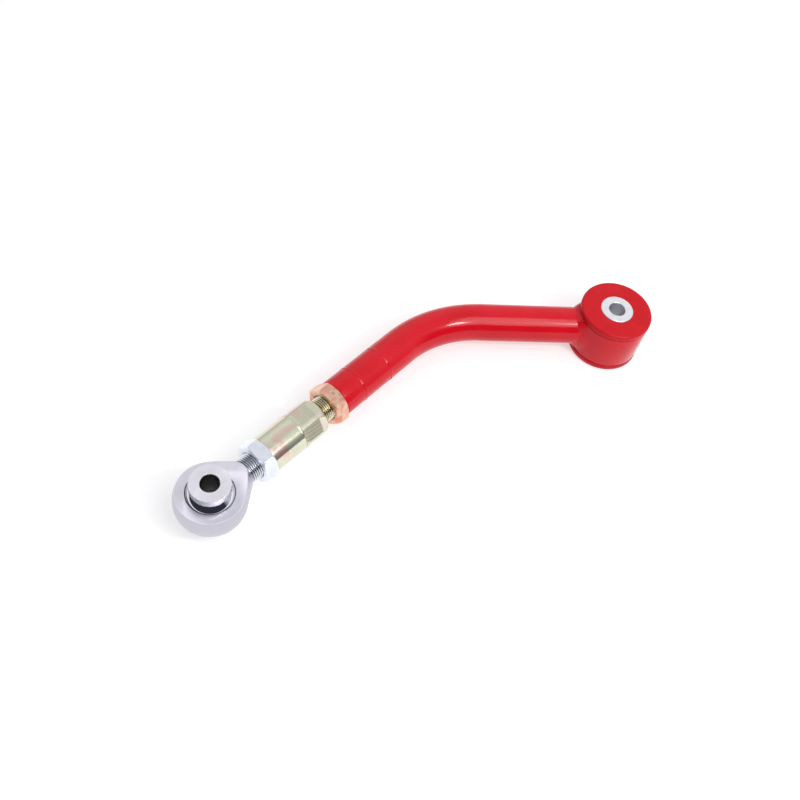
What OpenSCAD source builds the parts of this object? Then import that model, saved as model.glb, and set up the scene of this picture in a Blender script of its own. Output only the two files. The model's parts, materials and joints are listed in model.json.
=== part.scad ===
// Adjustable suspension control arm: a bent tubular arm with a flanged bushing
// at one end and a threaded adjuster with a spherical rod end at the other.
// Units are millimetres. The origin is the middle of the bushing bore, +Z runs
// along the bushing bolt and the rod end lies on the -X side. One node is drawn
// with -D 'node="NAME"'.

/* [Overall layout] */

// distance from the bushing bolt axis to the rod-end bolt axis
pivot_distance = 341.0; // [250:0.5:450]
// angle of the adjuster axis from the line between the two bolts
adjuster_angle = 16.7; // [0:0.1:30]
// total bend of the arm tube
bend_angle = 43.7; // [10:0.1:80]
// radius of the tube bend at its centreline
bend_radius = 91.5; // [60:0.5:150]

/* [Arm tube] */

// outside diameter of the arm tube
tube_od = 28.575; // [20:0.005:40]
// amount the tube radius draws in at the bend
bend_draw = 0.15; // [0.05:0.05:1]
// wall thickness of the arm tube
tube_wall = 3.05; // [1.5:0.05:6]

/* [Tube insert] */

// distance from the rod-end centre to the free face of the insert
insert_start = 116.5; // [100:0.5:150]
// length of the flush collar of the insert
collar_length = 19.0; // [5:0.5:40]
// length of the insert spigot inside the tube
spigot_length = 34.0; // [15:0.5:60]
// chamfer at the mouth of the insert
insert_chamfer = 1.0; // [0.2:0.1:3]
// depth of the weld groove where the collar meets the tube
groove_depth = 1.2; // [0.5:0.1:2.5]
// height of the weld crown above the tube surface
weld_crown = 0.15; // [0:0.05:0.5]
// distance from the collar seam to the ring of slot welds
slot_weld_offset = 26.5; // [10:0.5:40]
// width of one slot weld along the tube
slot_weld_width = 2.4; // [1:0.1:6]
// number of slot welds around the tube
slot_weld_count = 6; // [3:1:8]
// arc covered by one slot weld
slot_weld_arc = 38; // [10:1:55]

/* [Eye shell and bushing] */

// outside diameter of the eye shell
shell_od = 55.4; // [40:0.5:80]
// wall thickness of the eye shell
shell_wall = 3.2; // [2:0.1:6]
// distance over the two bushing flanges
flange_span = 41.6; // [30:0.1:60]
// thickness of one bushing flange
flange_thickness = 4.6; // [2:0.1:8]
// diameter of the bushing flanges
flange_diameter = 55.8; // [45:0.1:85]
// radius on the rim of a bushing flange
flange_round = 1.0; // [0.2:0.1:2]
// leg length of the weld between tube and eye shell
eye_weld_leg = 3.2; // [1:0.1:6]

/* [Crush sleeve] */

// outside diameter of the crush sleeve
sleeve_od = 25.4; // [18:0.1:35]
// length of the crush sleeve
sleeve_length = 42.6; // [30:0.1:70]
// diameter of the bolt holes in the crush sleeve and the spacers
bolt_bore = 12.8; // [8:0.1:20]
// chamfer on the edges of the crush sleeve and the spacers
edge_chamfer = 0.4; // [0.1:0.1:1]

/* [Threads and jam nuts] */

// major diameter of both threads
thread_major = 19.05; // [10:0.05:30]
// pitch of both threads
thread_pitch = 1.5875; // [0.8:0.0125:3]
// distance across the flats of a jam nut
nut_flats = 28.575; // [18:0.005:46]
// thickness of a jam nut
nut_thickness = 11.0; // [6:0.1:20]
// rise of the corner chamfer of a jam nut
nut_chamfer = 1.6; // [0.5:0.1:3]
// angle of a jam nut's corner from the downward direction
nut_turn = 37; // [0:0.5:60]

/* [Adjuster] */

// distance from the rod-end centre to the near face of the adjuster
adjuster_start = 48.3; // [40:0.1:80]
// length of the adjuster sleeve
adjuster_length = 50.0; // [35:0.1:80]
// diameter of the round part of the adjuster sleeve
adjuster_od = 27.8; // [22:0.1:36]
// distance across the wrench flats of the adjuster sleeve
wrench_flats = 26.4; // [20:0.1:36]
// diameter across the trimmed corners of the wrench flats
wrench_corners = 28.7; // [22:0.1:40]
// length of the wrench flats
wrench_length = 16.5; // [6:0.1:30]
// angle of a corner of the wrench flats from the downward direction
wrench_turn = 29.5; // [0:0.5:60]
// length of the rounded nose of the adjuster sleeve
nose_length = 6.8; // [2:0.1:12]
// diameter of the small end of the nose
nose_end_diameter = 21.4; // [19.5:0.1:28]
// depth of the threaded hole for the rod-end shank
shank_hole_depth = 34.0; // [20:0.5:45]
// depth of the seat that holds the stud
stud_seat_depth = 10.0; // [5:0.5:20]
// length of the stud beyond the adjuster sleeve
stud_reach = 51.5; // [30:0.5:80]

/* [Rod end] */

// diameter of the rod-end head
head_diameter = 49.6; // [35:0.1:70]
// thickness of the head between its flat faces
head_thickness = 18.6; // [10:0.1:30]
// distance from the ball centre to the start of the shank thread
neck_end = 29.3; // [24:0.1:45]
// distance from the ball centre to the end of the shank
shank_end = 73.0; // [50:0.5:110]
// diameter of the ball
ball_diameter = 37.2; // [25:0.1:50]
// distance over the flats of the ball
ball_width = 26.8; // [16:0.1:40]
// thickness of the liner between ball and head
liner_thickness = 0.35; // [0.2:0.05:2]

/* [Misalignment spacers] */

// distance over the outer faces of the two spacers
spacer_span = 42.6; // [30:0.1:70]
// diameter of the spacer flange
spacer_flange = 27.8; // [18:0.1:40]
// diameter of the spacer where it rests on the ball
spacer_foot = 25.8; // [18:0.1:40]
// diameter of the spacer shank inside the ball
spacer_shank = 19.05; // [10:0.05:25]
// height of the tapered foot of the spacer
foot_height = 2.2; // [0.5:0.1:6]

/* [Hidden] */

$fn = 96;
// small overlap used where one cut runs out of a solid
eps = 0.01;
// running clearance on the radius
run_gap = 0.05;
// clearance on the radius over an external thread
thread_gap = 0.075;
// gap between neighbouring faces that don't carry load
face_gap = 0.3;
// contact gap between joined or seated pieces
seat_gap = 0.02;
// angle of the eye side of the tube from the line between the bolts
eye_angle = bend_angle - adjuster_angle;
// distance from the rod-end centre to the corner of the two tube axes
corner_to_rod = pivot_distance * sin(eye_angle) / sin(bend_angle);
// distance from the bushing centre to the same corner
corner_to_eye = pivot_distance * sin(adjuster_angle) / sin(bend_angle);
// length taken from each straight by the bend
bend_tangent = bend_radius * tan(bend_angle / 2);
// angle by which the bend reaches into each straight
bend_lap = 0.5;
tube_r = tube_od / 2;
tube_ir = tube_r - tube_wall;
shell_r = shell_od / 2;
shell_ir = shell_r - shell_wall;
shell_half = flange_span / 2 - flange_thickness;
tube_start = insert_start + collar_length;
insert_end = tube_start + spigot_length;
spigot_r = tube_ir - run_gap;
slot_weld_at = tube_start + slot_weld_offset;
thread_r = thread_major / 2;
// height of the V thread as a share of its pitch, and half its crest
thread_share = 0.6134;
crest_share = 1 / 16;
thread_depth = thread_pitch * thread_share;
thread_core = thread_r - thread_depth;
adjuster_end = adjuster_start + adjuster_length;
stud_start = adjuster_end - stud_seat_depth;
stud_end = adjuster_end + stud_reach;
hex_corner = nut_flats / cos(30);
hex_sides = 6;
head_r = head_diameter / 2;
// end radius of the neck cone, and the point where the cone touches the head
neck_r = thread_r + 0.1;
neck_reach = norm([neck_end, neck_r]);
tangent_angle = atan2(neck_r, neck_end) + acos(head_r / neck_reach);
tangent_s = head_r * cos(tangent_angle);
tangent_r = head_r * sin(tangent_angle);
ball_r = ball_diameter / 2;
liner_ir = ball_r + run_gap + seat_gap;
liner_r = liner_ir + liner_thickness;
pocket_r = liner_r + seat_gap;
eye_weld_half = shell_half - face_gap;
// share of a pitch left plain at the ends of a thread
thread_clear = 0.2;
// inset of a jam nut's flat face from its flats, and depth of its countersink
nut_face_inset = 0.6;
nut_countersink = 0.9;
// plain length of the stud just outside the adjuster sleeve
stud_clear = 0.6;
// share of the nose that is turned to a taper before its rounded end
nose_share = 1 / 3;
// length by which a cutting tool runs past the solid that it cuts
run_out = 1;

// piece to draw, or all of them

// Places children on the adjuster axis: +Z of the child runs from the rod end
// towards the arm tube, starting at distance s from the rod-end centre.
module on_adjuster(s) {
    translate([-pivot_distance, 0, 0])
        rotate([0, 0, adjuster_angle])
            rotate([0, 90, 0])
                translate([0, 0, s])
                    children();
}

// Places children on the eye side of the tube: +Z of the child runs from the
// bushing centre towards the bend.
module on_eye_tube(s) {
    rotate([0, 0, 180 - eye_angle])
        rotate([0, 90, 0])
            translate([0, 0, s])
                children();
}

// Ring with a chamfer at both ends of the bore and of the rim.
module chamfered_ring(outer_r, inner_r, length, chamfer) {
    rotate_extrude()
        polygon([[inner_r, chamfer], [inner_r + chamfer, 0],
                 [outer_r - chamfer, 0], [outer_r, chamfer],
                 [outer_r, length - chamfer], [outer_r - chamfer, length],
                 [inner_r + chamfer, length], [inner_r, length - chamfer]]);
}

// External thread drawn as equal V ridges on a solid core.
module ridged_thread(length) {
    ridges = floor(length / thread_pitch - thread_clear);
    lead = (length - ridges * thread_pitch) / 2;
    crest = thread_pitch * crest_share;
    rotate_extrude()
        polygon(concat(
            [[0, 0], [thread_core, 0]],
            [for (i = [0 : ridges - 1], k = [-1 : 1])
                k < 0 ? [thread_core, lead + i * thread_pitch]
                      : [thread_r, lead + (i + 0.5) * thread_pitch + (2 * k - 1) * crest]],
            [[thread_core, length - lead], [thread_core, length], [0, length]]));
}

// Hex jam nut with both faces chamfered and a plain running bore.
module jam_nut() {
    difference() {
        intersection() {
            cylinder(d = hex_corner, h = nut_thickness, $fn = hex_sides);
            rotate_extrude()
                polygon([[0, 0], [nut_flats / 2 - nut_face_inset, 0],
                         [hex_corner / 2, nut_chamfer],
                         [hex_corner / 2, nut_thickness - nut_chamfer],
                         [nut_flats / 2 - nut_face_inset, nut_thickness],
                         [0, nut_thickness]]);
        }
        rotate_extrude()
            polygon([[0, -eps], [thread_r + nut_countersink + eps, -eps],
                     [thread_r + thread_gap, nut_countersink],
                     [thread_r + thread_gap, nut_thickness - nut_countersink],
                     [thread_r + nut_countersink + eps, nut_thickness + eps],
                     [0, nut_thickness + eps]]);
    }
}

// Places children in the frame of the bend: its centre at the origin and the
// eye side of the tube starting at angle 0.
module at_bend() {
    rotate([0, 0, 180 - eye_angle])
        translate([corner_to_eye - bend_tangent, bend_radius, 0])
            rotate([0, 0, -90])
                children();
}

// Solid rod of radius r along the whole centreline of the tube, over at the ends.
// The bend is drawn in slightly, and reaches a little way into both straights.
module tube_rod(r, over) {
    at_bend() {
        translate([bend_radius, 0, 0])
            rotate([90, 0, 0])
                cylinder(r = r, h = corner_to_eye - bend_tangent);
        rotate([0, 0, -bend_lap])
            rotate_extrude(angle = bend_angle + 2 * bend_lap)
                translate([bend_radius, 0])
                    circle(r = r - bend_draw);
        rotate([0, 0, bend_angle])
            translate([bend_radius, 0, 0])
                rotate([-90, 0, 0])
                    cylinder(r = r, h = corner_to_rod - bend_tangent - tube_start + over);
    }
}

// Bent arm tube, coped to the eye shell, with slots for the slot welds.
module arm_tube() {
    color("firebrick")
        difference() {
            tube_rod(tube_r, 0);
            tube_rod(tube_ir, run_out);
            cylinder(r = shell_r + seat_gap, h = 2 * shell_r, center = true);
            on_adjuster(tube_start)
                groove_cut();
            on_adjuster(slot_weld_at)
                slot_weld_ring(seat_gap);
        }
}

// Half of the V groove at the collar seam, cut from the piece on its +Z side.
module groove_cut() {
    rotate_extrude()
        polygon([[tube_r - groove_depth, -eps], [tube_r + eps, -eps],
                 [tube_r + eps, groove_depth + eps], [tube_r, groove_depth],
                 [tube_r - groove_depth, 0]]);
}

// Ring of slot welds, grown by gap on every side for the slots themselves.
module slot_weld_ring(gap) {
    for (i = [0 : slot_weld_count - 1])
        rotate([0, 0, i * 360 / slot_weld_count - slot_weld_arc / 2])
            rotate_extrude(angle = slot_weld_arc)
                translate([spigot_r + seat_gap, -slot_weld_width / 2 - gap])
                    square([tube_r + weld_crown - spigot_r + gap, slot_weld_width + 2 * gap]);
}

// Threaded insert: a collar flush with the tube and a spigot inside it.
module tube_insert() {
    color("indianred")
        on_adjuster(insert_start)
            rotate_extrude()
                polygon([[thread_r + thread_gap, insert_chamfer],
                         [thread_r + thread_gap + insert_chamfer, 0],
                         [tube_r - face_gap, 0],
                         [tube_r, face_gap],
                         [tube_r, collar_length - groove_depth - seat_gap],
                         [tube_r - groove_depth, collar_length - seat_gap],
                         [spigot_r, collar_length - seat_gap],
                         [spigot_r, collar_length + spigot_length],
                         [thread_r + thread_gap, collar_length + spigot_length]]);
}

// Weld ring, ground nearly flush, that fills the groove at the collar seam.
module insert_weld() {
    color("indianred")
        on_adjuster(tube_start)
            rotate_extrude()
                polygon([[tube_r - groove_depth + seat_gap, 0],
                         [tube_r, -groove_depth + 2 * seat_gap],
                         [tube_r + weld_crown, 0],
                         [tube_r, groove_depth - 2 * seat_gap]]);
}

// Slot welds that hold the spigot in the tube.
module slot_welds() {
    color("indianred")
        on_adjuster(slot_weld_at)
            slot_weld_ring(0);
}

// Short tube that houses the bushing.
module eye_shell() {
    color("firebrick")
        translate([0, 0, -shell_half])
            chamfered_ring(shell_r, shell_ir, 2 * shell_half, edge_chamfer);
}

// Weld that runs around the joint between the tube and the eye shell.
module eye_weld() {
    color("indianred")
        difference() {
            intersection() {
                on_eye_tube(0)
                    cylinder(r = tube_r + eye_weld_leg, h = 2 * shell_r);
                cylinder(r = shell_r + eye_weld_leg, h = 2 * eye_weld_half, center = true);
            }
            cylinder(r = shell_r + seat_gap, h = 2 * shell_r, center = true);
            on_eye_tube(0)
                cylinder(r = tube_r + seat_gap, h = 2 * shell_r + eye_weld_leg);
        }
}

// One flanged half of the bushing, hub downwards, flange face at the top.
module bushing_half() {
    hub_r = shell_ir - run_gap;
    flange_r = flange_diameter / 2;
    top = flange_span / 2;
    rotate_extrude()
        union() {
            polygon([[sleeve_od / 2 + run_gap, face_gap / 2],
                     [hub_r - edge_chamfer, face_gap / 2],
                     [hub_r, face_gap / 2 + edge_chamfer],
                     [hub_r, shell_half + seat_gap],
                     [flange_r, shell_half + seat_gap],
                     [flange_r, top - flange_round],
                     [flange_r - flange_round, top],
                     [sleeve_od / 2 + run_gap, top]]);
            translate([flange_r - flange_round, top - flange_round])
                circle(r = flange_round);
        }
}

// Upper half of the bushing.
module bushing_upper() {
    color("crimson")
        bushing_half();
}

// Lower half of the bushing.
module bushing_lower() {
    color("crimson")
        mirror([0, 0, 1])
            bushing_half();
}

// Steel sleeve that the bushing turns on.
module crush_sleeve() {
    color("whitesmoke")
        translate([0, 0, -sleeve_length / 2])
            chamfered_ring(sleeve_od / 2, bolt_bore / 2, sleeve_length, edge_chamfer);
}

// Left-hand jam nut against the insert.
module arm_jam_nut() {
    color("peachpuff")
        on_adjuster(insert_start - nut_thickness - seat_gap)
            rotate([0, 0, nut_turn])
                jam_nut();
}

// Left-hand threaded stud of the adjuster.
module adjuster_stud() {
    color("darkkhaki")
        on_adjuster(stud_start)
            union() {
                cylinder(r = thread_core, h = stud_seat_depth + stud_clear);
                translate([0, 0, stud_seat_depth + stud_clear])
                    ridged_thread(stud_reach - stud_clear);
            }
}

// Adjuster sleeve: round body, wrench flats and a nose, threaded at one end.
module adjuster_sleeve() {
    flats_from = adjuster_length - nose_length - wrench_length;
    flats_to = adjuster_length - nose_length;
    body_r = adjuster_od / 2;
    corner_r = wrench_corners / 2;
    color("khaki")
        on_adjuster(adjuster_start)
            difference() {
                union() {
                    rotate_extrude()
                        polygon([[0, 0], [body_r - edge_chamfer, 0],
                                 [body_r, edge_chamfer], [body_r, flats_from],
                                 [0, flats_from]]);
                    intersection() {
                        translate([0, 0, flats_from])
                            rotate([0, 0, wrench_turn])
                                cylinder(d = wrench_flats / cos(30),
                                         h = wrench_length + nose_length, $fn = hex_sides);
                        rotate_extrude()
                            polygon([[0, flats_from], [body_r, flats_from],
                                     [corner_r, flats_from + face_gap],
                                     [corner_r, flats_to],
                                     [body_r - face_gap, flats_to + nose_length * nose_share],
                                     [nose_end_diameter / 2 + face_gap,
                                      adjuster_length - face_gap],
                                     [nose_end_diameter / 2, adjuster_length],
                                     [0, adjuster_length]]);
                    }
                }
                translate([0, 0, -eps])
                    cylinder(r = thread_r + thread_gap, h = shank_hole_depth + eps);
                translate([0, 0, adjuster_length - stud_seat_depth - face_gap])
                    cylinder(r = thread_core + run_gap, h = stud_seat_depth + run_out);
            }
}

// Right-hand jam nut against the adjuster sleeve.
module rod_end_jam_nut() {
    color("lavender")
        on_adjuster(adjuster_start - nut_thickness - seat_gap)
            rotate([0, 0, nut_turn])
                jam_nut();
}

// Rod-end body: round head milled flat on both sides, neck and threaded shank.
module rod_end_housing() {
    color("silver")
        difference() {
            union() {
                intersection() {
                    union() {
                        translate([-pivot_distance, 0, 0])
                            sphere(r = head_r);
                        on_adjuster(tangent_s)
                            cylinder(r1 = tangent_r, r2 = neck_r, h = neck_end - tangent_s);
                    }
                    translate([-pivot_distance, 0, 0])
                        cube([4 * head_r, 4 * head_r, head_thickness], center = true);
                }
                on_adjuster(neck_end)
                    ridged_thread(shank_end - neck_end);
            }
            translate([-pivot_distance, 0, 0])
                sphere(r = pocket_r);
        }
}

// Thin bearing liner between the ball and the head.
module race_liner() {
    color("dimgray")
        translate([-pivot_distance, 0, 0])
            difference() {
                intersection() {
                    sphere(r = liner_r);
                    cube([4 * liner_r, 4 * liner_r, head_thickness], center = true);
                }
                sphere(r = liner_ir);
            }
}

// Bored ball with two flats.
module ball() {
    color("gainsboro")
        translate([-pivot_distance, 0, 0])
            difference() {
                intersection() {
                    sphere(r = ball_r);
                    cube([4 * ball_r, 4 * ball_r, ball_width], center = true);
                }
                cylinder(r = spacer_shank / 2 + run_gap, h = 2 * ball_r, center = true);
            }
}

// One misalignment spacer, seated on the upper flat of the ball.
module spacer() {
    foot = ball_width / 2 + seat_gap;
    top = spacer_span / 2;
    bore_r = bolt_bore / 2;
    flange_r = spacer_flange / 2;
    translate([-pivot_distance, 0, 0])
        rotate_extrude()
            polygon([[bore_r, face_gap], [spacer_shank / 2, face_gap],
                     [spacer_shank / 2, foot], [spacer_foot / 2, foot],
                     [flange_r, foot + foot_height], [flange_r, top - edge_chamfer],
                     [flange_r - edge_chamfer, top], [bore_r + edge_chamfer, top],
                     [bore_r, top - edge_chamfer]]);
}

// Upper misalignment spacer.
module spacer_upper() {
    color("white")
        spacer();
}

// Lower misalignment spacer.
module spacer_lower() {
    color("white")
        mirror([0, 0, 1])
            spacer();
}

arm_tube();
tube_insert();
insert_weld();
slot_welds();
eye_shell();
eye_weld();
bushing_upper();
bushing_lower();
crush_sleeve();
arm_jam_nut();
adjuster_stud();
adjuster_sleeve();
rod_end_jam_nut();
rod_end_housing();
race_liner();
ball();
spacer_upper();
spacer_lower();
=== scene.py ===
# Adjustable suspension control arm, put together in the order of its assembly.
# Sizes are in millimetres, and every place is worked out from the CAD frame.
import json
import math

import bmesh
import bpy
from mathutils import Matrix, Vector


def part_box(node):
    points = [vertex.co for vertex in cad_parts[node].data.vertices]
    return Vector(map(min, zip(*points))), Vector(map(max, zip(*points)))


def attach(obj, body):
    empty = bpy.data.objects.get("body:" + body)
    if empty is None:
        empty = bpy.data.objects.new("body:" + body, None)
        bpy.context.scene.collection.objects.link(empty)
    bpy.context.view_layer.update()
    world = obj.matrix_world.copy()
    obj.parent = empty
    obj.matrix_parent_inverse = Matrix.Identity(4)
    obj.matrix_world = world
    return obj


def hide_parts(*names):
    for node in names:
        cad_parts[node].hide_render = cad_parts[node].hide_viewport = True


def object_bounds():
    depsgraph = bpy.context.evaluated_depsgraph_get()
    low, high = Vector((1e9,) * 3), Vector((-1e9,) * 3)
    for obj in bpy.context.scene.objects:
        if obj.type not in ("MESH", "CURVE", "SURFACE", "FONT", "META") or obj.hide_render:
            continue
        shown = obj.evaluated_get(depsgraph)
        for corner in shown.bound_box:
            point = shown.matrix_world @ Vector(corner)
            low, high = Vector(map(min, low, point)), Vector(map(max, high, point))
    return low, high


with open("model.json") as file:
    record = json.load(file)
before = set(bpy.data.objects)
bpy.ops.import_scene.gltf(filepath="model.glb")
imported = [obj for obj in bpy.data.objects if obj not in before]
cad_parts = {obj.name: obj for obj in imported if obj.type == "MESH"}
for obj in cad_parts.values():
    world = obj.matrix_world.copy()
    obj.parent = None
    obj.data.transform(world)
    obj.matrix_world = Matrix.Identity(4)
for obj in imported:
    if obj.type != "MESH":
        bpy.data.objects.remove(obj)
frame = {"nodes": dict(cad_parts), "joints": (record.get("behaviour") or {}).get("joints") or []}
cad_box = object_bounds()


# ---------------------------------------------------------------- eye shell
# The eye is a short length of thick steel tube, sawn and deburred, that the
# bushing is pressed into. It is powder coated red together with the arm.

MM = 0.001
Z_AXIS = Vector((0, 0, 1))
eye_centre = Vector((0, 0, 0))


def reach(node, origin, axis):
    """Start, end, inner and outer radius of a CAD node about an axis, in mm."""
    points = [v.co - origin for v in frame["nodes"][node].data.vertices]
    along = [p.dot(axis) for p in points]
    apart = [(p - axis * s).length for p, s in zip(points, along)]
    return [value / MM for value in (min(along), max(along), min(apart), max(apart))]


def turned_to(origin, axis):
    """Frame whose +Z is the axis and whose +X points up or, for an upright axis, along +X."""
    side = Vector((1, 0, 0)) if abs(axis.z) > 0.9 else Z_AXIS
    x = (side - axis * side.dot(axis)).normalized()
    y = axis.cross(x)
    turned = Matrix((x, y, axis)).transposed().to_4x4()
    return Matrix.Translation(origin) @ turned


def rounded(corners, closed=True, steps=4):
    """Outline (radius, height) with each corner (radius, height, fillet) turned into an arc."""
    count = len(corners)
    outline = []
    for i, (r, z, fillet) in enumerate(corners):
        at_end = not closed and i in (0, count - 1)
        if fillet <= 0 or at_end:
            outline.append((r, z))
            continue
        here = Vector((r, z))
        before = (Vector(corners[i - 1][:2]) - here).normalized()
        after = (Vector(corners[(i + 1) % count][:2]) - here).normalized()
        half = before.angle(after) / 2
        back = fillet / math.tan(half)
        centre = here + (before + after).normalized() * fillet / math.sin(half)
        first = here + before * back - centre
        last = here + after * back - centre
        sweep = first.angle_signed(last)
        for k in range(steps + 1):
            spoke = first.copy()
            spoke.rotate(Matrix.Rotation(-sweep * k / steps, 2))
            outline.append(tuple(centre + spoke))
    return outline


def in_scene(name, data):
    """New object in the scene that holds a mesh, a lamp or a camera."""
    added = bpy.data.objects.new(name, data)
    bpy.context.scene.collection.objects.link(added)
    return added


def smooth(mesh, sharp_angle=32):
    """Shades a mesh smooth except across its sharp edges."""
    mesh.shade_smooth()
    mesh.set_sharp_from_angle(angle=math.radians(sharp_angle))
    return mesh


def ring_faces(rows, count, closed_path=True, closed_outline=True):
    """Quads between neighbouring rows of points, each row an outline of count points."""
    faces = []
    for k in range(rows if closed_path else rows - 1):
        a, b = k * count, (k + 1) % rows * count
        for i in range(count if closed_outline else count - 1):
            j = (i + 1) % count
            faces.append((a + i, b + i, b + j, a + j))
    return faces


def piece_from(name, vertices, faces, sharp_angle):
    """Closed mesh object with outward faces."""
    mesh = bpy.data.meshes.new(name)
    mesh.from_pydata(vertices, [], faces)
    shape = bmesh.new()
    shape.from_mesh(mesh)
    bmesh.ops.remove_doubles(shape, verts=shape.verts, dist=1e-7)
    bmesh.ops.recalc_face_normals(shape, faces=shape.faces)
    shape.to_mesh(mesh)
    shape.free()
    return in_scene(name, smooth(mesh, sharp_angle))


def turn(name, outline, place, steps=144, closed=True, sharp_angle=32):
    """Turns an outline about +Z of place. A radius or height may be a function of the angle."""
    vertices = []
    for k in range(steps):
        angle = 2 * math.pi * k / steps
        for r, z in outline:
            radius = r(angle) if callable(r) else r
            height = z(angle) if callable(z) else z
            spot = (radius * math.cos(angle), radius * math.sin(angle), height)
            vertices.append(place @ (Vector(spot) * MM))
    faces = ring_faces(steps, len(outline), closed_outline=closed)
    return piece_from(name, vertices, faces, sharp_angle)


def linear(colour):
    """sRGB hex colour as linear red, green, blue and alpha."""
    channels = [int(colour[i : i + 2], 16) / 255 for i in (1, 3, 5)]
    return [c / 12.92 if c <= 0.04045 else ((c + 0.055) / 1.055) ** 2.4 for c in channels] + [1]


def plug(node, inputs):
    """Gives a node's inputs values or links; a node stands for its first output."""
    for key, value in inputs.items():
        if isinstance(value, bpy.types.Node):
            value = value.outputs[0]
        if isinstance(value, bpy.types.NodeSocket):
            node.id_data.links.new(value, node.inputs[key])
        else:
            node.inputs[key].default_value = value


def put(tree, kind, inputs=None, stops=(), **settings):
    """Adds a node with its settings, its colour stops and its inputs."""
    added = tree.nodes.new(kind)
    for key, value in settings.items():
        setattr(added, key, value)
    for number, (position, colour) in enumerate(stops):
        bar = added.color_ramp.elements
        stop = bar[number] if number < len(bar) else bar.new(position)
        stop.position = position
        stop.color = linear(colour)
    plug(added, inputs or {})
    return added


def finish(name, colour, metallic, roughness, **sockets):
    """New material: its node tree, its Principled shader and the place on the object."""
    material = bpy.data.materials.new(name)
    material.use_nodes = True
    tree = material.node_tree
    shader = tree.nodes["Principled BSDF"]
    plug(
        shader,
        {"Base Color": linear(colour), "Metallic": metallic, "Roughness": roughness}
        | {key.replace("_", " "): value for key, value in sockets.items()},
    )
    return material, tree, shader, put(tree, "ShaderNodeTexCoord").outputs["Object"]


def film(tree, place, patch_mm, low, high):
    """Colour that drifts between two shades over patches of a real size, and its drift."""
    drift = put(tree, "ShaderNodeTexNoise", {"Vector": place, "Scale": 1 / (patch_mm * MM)})
    tone = put(tree, "ShaderNodeValToRGB", {"Fac": drift}, stops=[(0.3, low), (0.7, high)])
    return tone, drift


def lay(tree, shader, tone, sheen, gloss, relief, depth_mm, **more):
    """Lays a colour, a roughness that follows the sheen, and a relief on the shader."""
    dulled = put(
        tree, "ShaderNodeMapRange", {"Value": sheen, "To Min": gloss[0], "To Max": gloss[1]}
    )
    skin = put(tree, "ShaderNodeBump", {"Height": relief, "Distance": depth_mm * MM})
    surface = {"Base Color": tone, "Roughness": dulled, "Normal": skin}
    plug(shader, surface | more)
    return skin


def powder_coat():
    """Red polyester powder coat, baked on: a deep gloss with faint orange peel."""
    material, tree, shader, place = finish(
        "red_powder_coat", "#CC0E20", 0.0, 0.14, Specular_IOR_Level=0.28
    )
    tone, _ = film(tree, place, 22, "#C80C1C", "#D01224")
    cure = put(tree, "ShaderNodeTexNoise", {"Vector": place, "Scale": 1 / (9 * MM)})
    # orange peel cells are about 1.6 mm across and a few micrometres high
    peel = put(
        tree, "ShaderNodeTexNoise", {"Vector": place, "Scale": 1 / (1.6 * MM), "Detail": 1.0}
    )
    lay(tree, shader, tone, cure, (0.1, 0.2), peel, 0.012)
    return material


def hand_over(piece, body, slot, material, *nodes, bevel=0.0):
    """Gives a piece its material, body and the CAD nodes that it stands for; the slot is not used.
    """
    piece.data.materials.clear()
    piece.data.materials.append(material)
    if bevel:
        edge = piece.modifiers.new("edge_break", "BEVEL")
        edge.width = bevel * MM
        edge.segments = 3
        edge.limit_method = "ANGLE"
        edge.angle_limit = math.radians(38)
        edge.harden_normals = True
    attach(piece, body)
    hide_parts(*nodes)


SHELL_EDGE = 1.3
red_coat = powder_coat()
shell_low, shell_high, shell_inner, shell_outer = reach("eye_shell", eye_centre, Z_AXIS)
shell_outline = rounded(
    [
        (shell_inner, shell_low, 0.4),
        (shell_outer, shell_low, SHELL_EDGE),
        (shell_outer, shell_high, SHELL_EDGE),
        (shell_inner, shell_high, 0.4),
    ]
)
eye_shell = turn("eye_shell", shell_outline, turned_to(eye_centre, Z_AXIS), steps=192)
hand_over(eye_shell, "arm", "red_powder_coat", red_coat, "eye_shell")


# ----------------------------------------------------------------- arm tube
# The arm is drawn steel tube, bent cold round a die that flattens it a
# little, then coped to sit against the eye shell.

BEND_ANGLE = math.radians(43.7)
BEND_RADIUS = 91.5
TUBE_WALL = 3.05
BEND_FLATTENING = 0.0115
TUBE_SIDES = 128

joints = {j["name"]: j for j in frame["joints"]}
rod_centre = Vector(joints["ball_tilt"]["pos_m"])
adjuster_axis = Vector(joints["adjuster_turn"]["axis"]).normalized()
adjuster_angle = math.atan2(adjuster_axis.y, adjuster_axis.x)
eye_angle = BEND_ANGLE - adjuster_angle
eye_axis = Vector((-math.cos(eye_angle), math.sin(eye_angle), 0))
adjuster_place = turned_to(rod_centre, adjuster_axis)
eye_place = turned_to(eye_centre, eye_axis)
pivot_distance = -rod_centre.x / MM
corner_to_rod = pivot_distance * math.sin(eye_angle) / math.sin(BEND_ANGLE)
bend_tangent = BEND_RADIUS * math.tan(BEND_ANGLE / 2)
insert_start, insert_end, insert_inner, tube_radius = reach(
    "tube_insert", rod_centre, adjuster_axis
)
weld_low, weld_high, weld_root, weld_crown = reach("insert_weld", rod_centre, adjuster_axis)
collar_end = (weld_low + weld_high) / 2


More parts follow.
